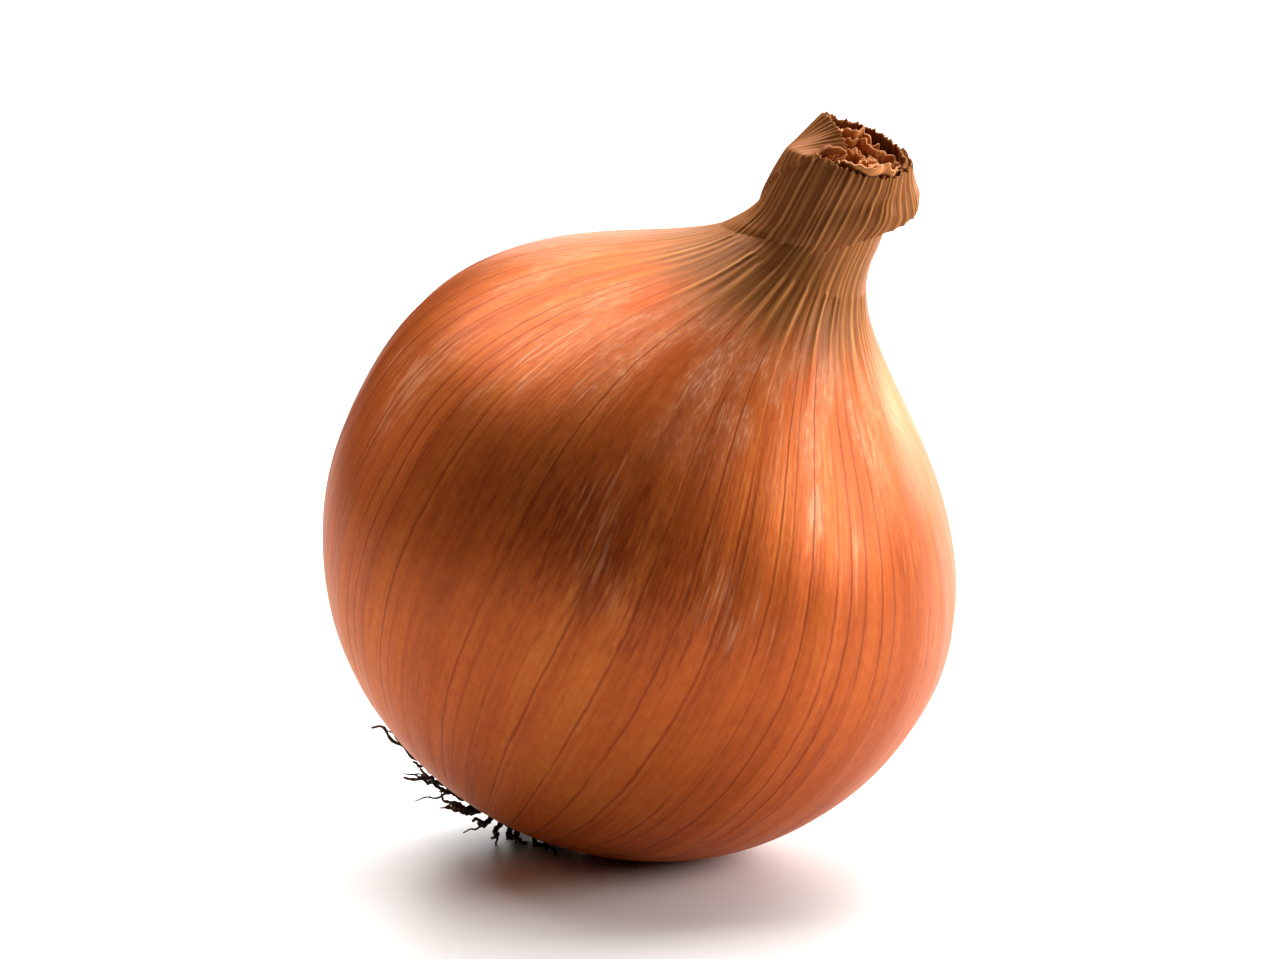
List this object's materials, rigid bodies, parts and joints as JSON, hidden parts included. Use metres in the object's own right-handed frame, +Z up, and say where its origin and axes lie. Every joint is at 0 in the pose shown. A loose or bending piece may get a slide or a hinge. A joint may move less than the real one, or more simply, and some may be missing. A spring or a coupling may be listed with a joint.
{
  "type": "onion",
  "caption": "Whole cured yellow-brown onion lying on its flank, with a dry sheathed neck, a corky root plate and dried roots.",
  "frame": {"origin": "centre of the small pressed flat that the bulb rests on", "axes": "+Z up, square to the resting flat; the neck leans towards +X and a little towards -Y"},
  "size_m": [0.0739, 0.0741, 0.0883],
  "materials": {
    "dry_skin": "dry papery onion skin, satin",
    "neck_sheath": "dry ribbed leaf sheath, dull satin",
    "dead_leaf": "dead crumpled leaf, matt",
    "root_plate": "corky and earth-stained, matt",
    "dry_root": "dry wiry root, matt"
  },
  "bodies": {
    "root": {"bulb": "dry_skin", "neck_sheath": "neck_sheath", "neck_leaf_outer": "dead_leaf", "neck_leaf_second": "dead_leaf", "neck_leaf_third": "dead_leaf", "neck_leaf_heart": "dead_leaf", "root_plate": "root_plate", "root_01": "dry_root", "root_02": "dry_root", "root_03": "dry_root", "root_04": "dry_root", "root_05": "dry_root", "root_06": "dry_root", "root_07": "dry_root", "root_08": "dry_root", "root_09": "dry_root", "root_10": "dry_root", "root_11": "dry_root", "root_12": "dry_root", "root_13": "dry_root", "root_14": "dry_root", "root_15": "dry_root", "root_16": "dry_root", "root_17": "dry_root", "root_18": "dry_root", "root_19": "dry_root", "root_20": "dry_root", "root_21": "dry_root", "root_22": "dry_root", "root_23": "dry_root", "root_24": "dry_root", "root_25": "dry_root"}
  },
  "joints": []
}
